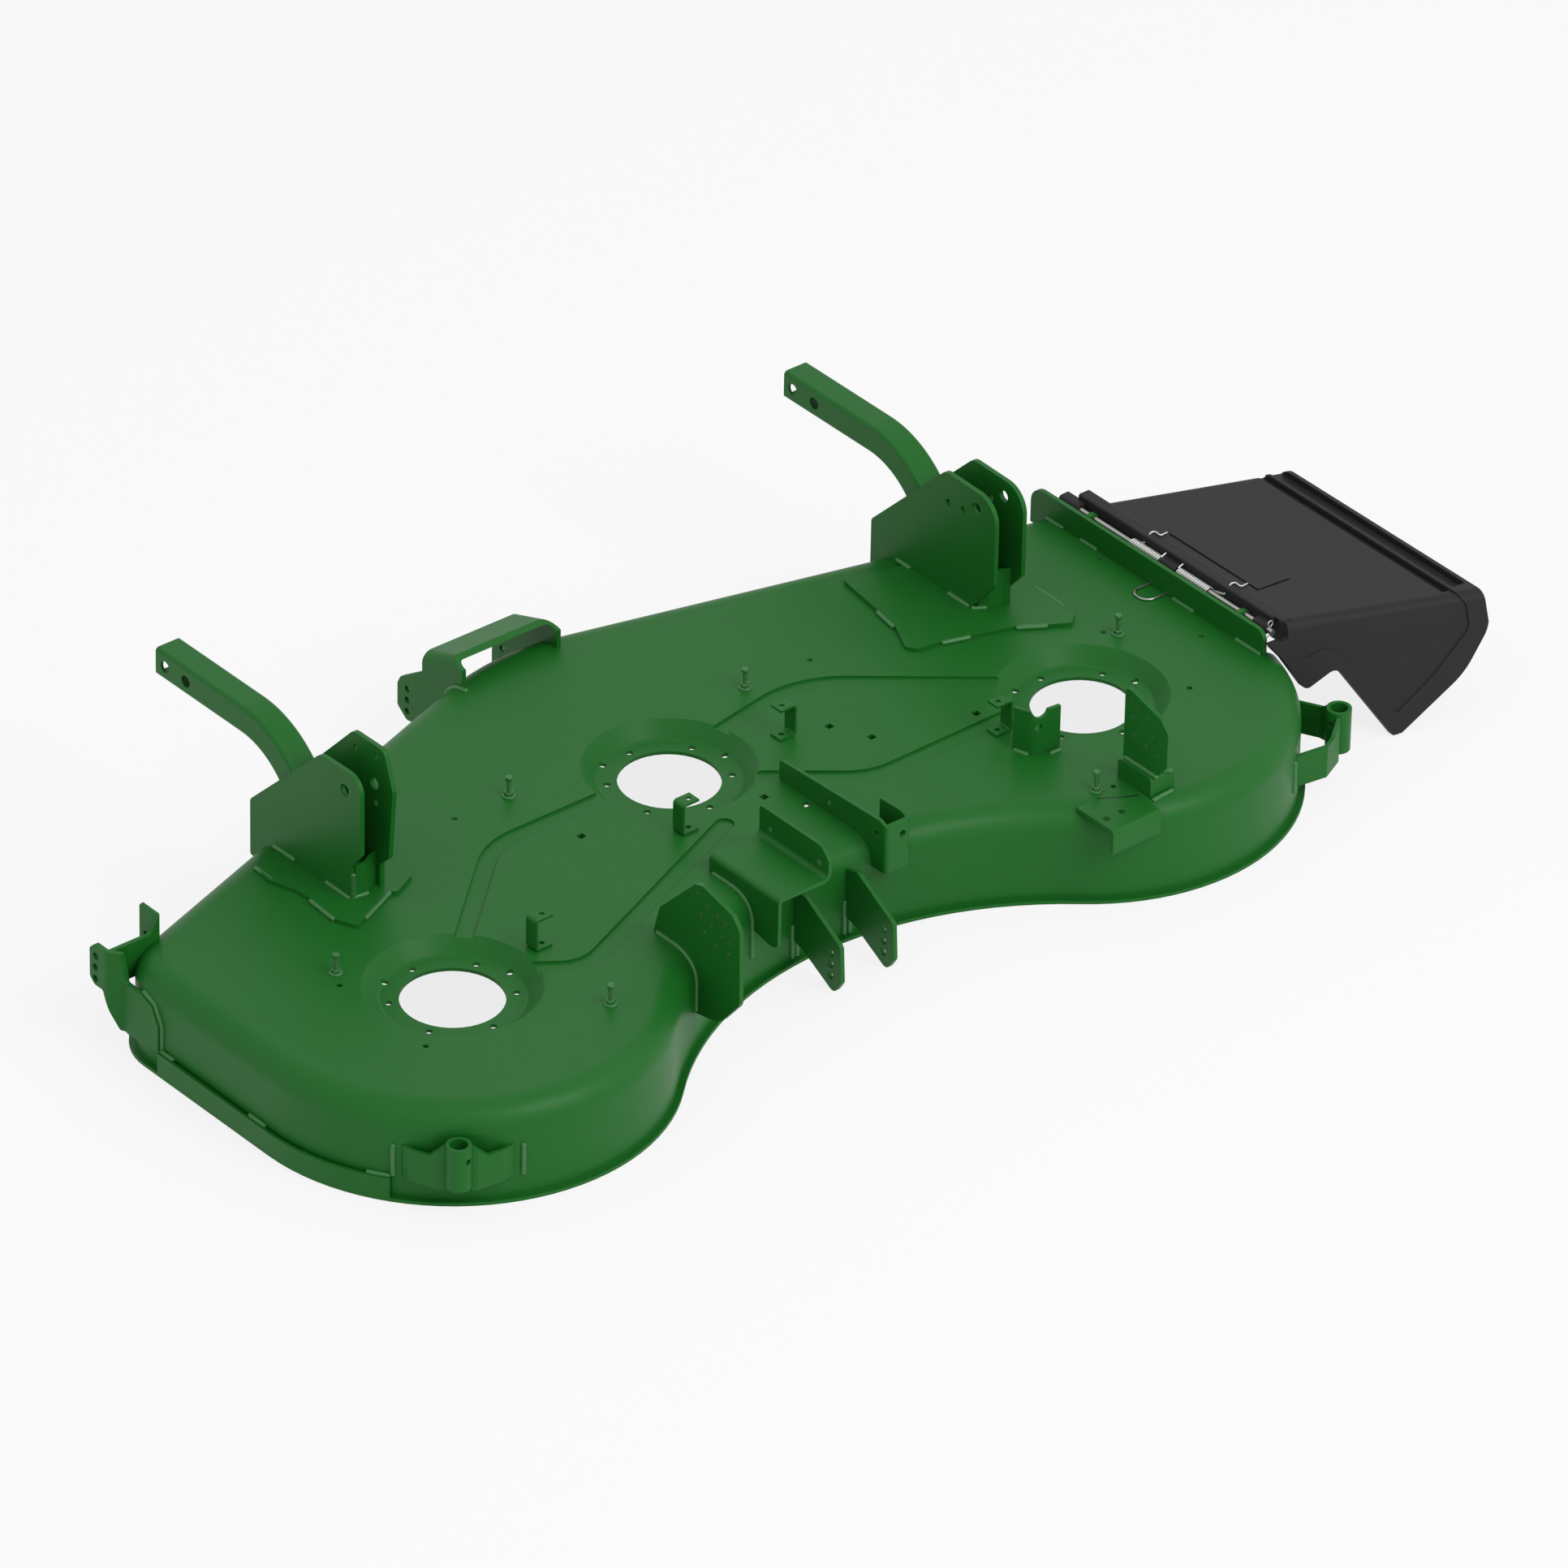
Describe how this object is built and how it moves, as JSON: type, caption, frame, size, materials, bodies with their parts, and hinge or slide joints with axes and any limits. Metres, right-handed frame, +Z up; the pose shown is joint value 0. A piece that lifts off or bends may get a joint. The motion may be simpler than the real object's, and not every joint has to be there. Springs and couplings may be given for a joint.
{
  "type": "lawn mower deck",
  "caption": "Stamped steel mower deck with three spindle pockets, lift arms, roller and anchor brackets, and a hinged sprung discharge chute.",
  "frame": {"origin": "axis of the middle spindle bore, at the top face of its pocket's floor", "axes": "+X towards the discharge chute, +Y to the front, +Z up along the spindle axes"},
  "size_m": [1.797, 0.8989, 0.3271],
  "materials": {
    "green_paint": "semi-gloss powder coat",
    "black_plastic": "satin moulded plastic",
    "zinc_wire": "bright zinc"
  },
  "bodies": {
    "deck": {"anchor_plate": "green_paint", "belt_cover_clip_1": "green_paint", "belt_cover_clip_2": "green_paint", "belt_cover_clip_3": "green_paint", "belt_cover_clip_4": "green_paint", "belt_guide_rail": "green_paint", "bent_tab": "green_paint", "cotter_pin": "zinc_wire", "cover_nuts": "green_paint", "cover_studs": "green_paint", "deck_shell": "green_paint", "front_roller_bracket": "green_paint", "hinge_lugs": "green_paint", "hinge_plate": "green_paint", "hinge_rod": "zinc_wire", "idler_plate": "green_paint", "idler_plate_foot": "green_paint", "idler_post": "green_paint", "left_doubler_plate": "green_paint", "left_gauge_wheel_bracket": "green_paint", "left_gauge_wheel_socket": "green_paint", "left_hanger_inner_plate": "green_paint", "left_hanger_outer_plate": "green_paint", "left_hanger_rear_wall": "green_paint", "left_lift_arm": "green_paint", "left_roller_bracket": "green_paint", "left_roller_cross_plate": "green_paint", "rear_ear_left": "green_paint", "rear_ear_right": "green_paint", "right_doubler_plate": "green_paint", "right_gauge_wheel_bracket": "green_paint", "right_gauge_wheel_socket": "green_paint", "right_hanger_inner_plate": "green_paint", "right_hanger_outer_plate": "green_paint", "right_hanger_rear_wall": "green_paint", "right_lift_arm": "green_paint", "side_wear_band": "green_paint", "wire_loop": "zinc_wire", "z_bracket": "green_paint"},
    "chute": {"chute_spring_front": "zinc_wire", "chute_spring_rear": "zinc_wire", "discharge_chute": "black_plastic"}
  },
  "joints": [
    {"name": "chute_hinge", "type": "hinge", "parent": "deck", "child": "chute", "pos_m": [0.742, -0.06, 0.047], "axis": [0, -1, 0], "range_deg": [0, 80], "stiffness_Nm_per_rad": 1, "springref_deg": -57.3}
  ]
}
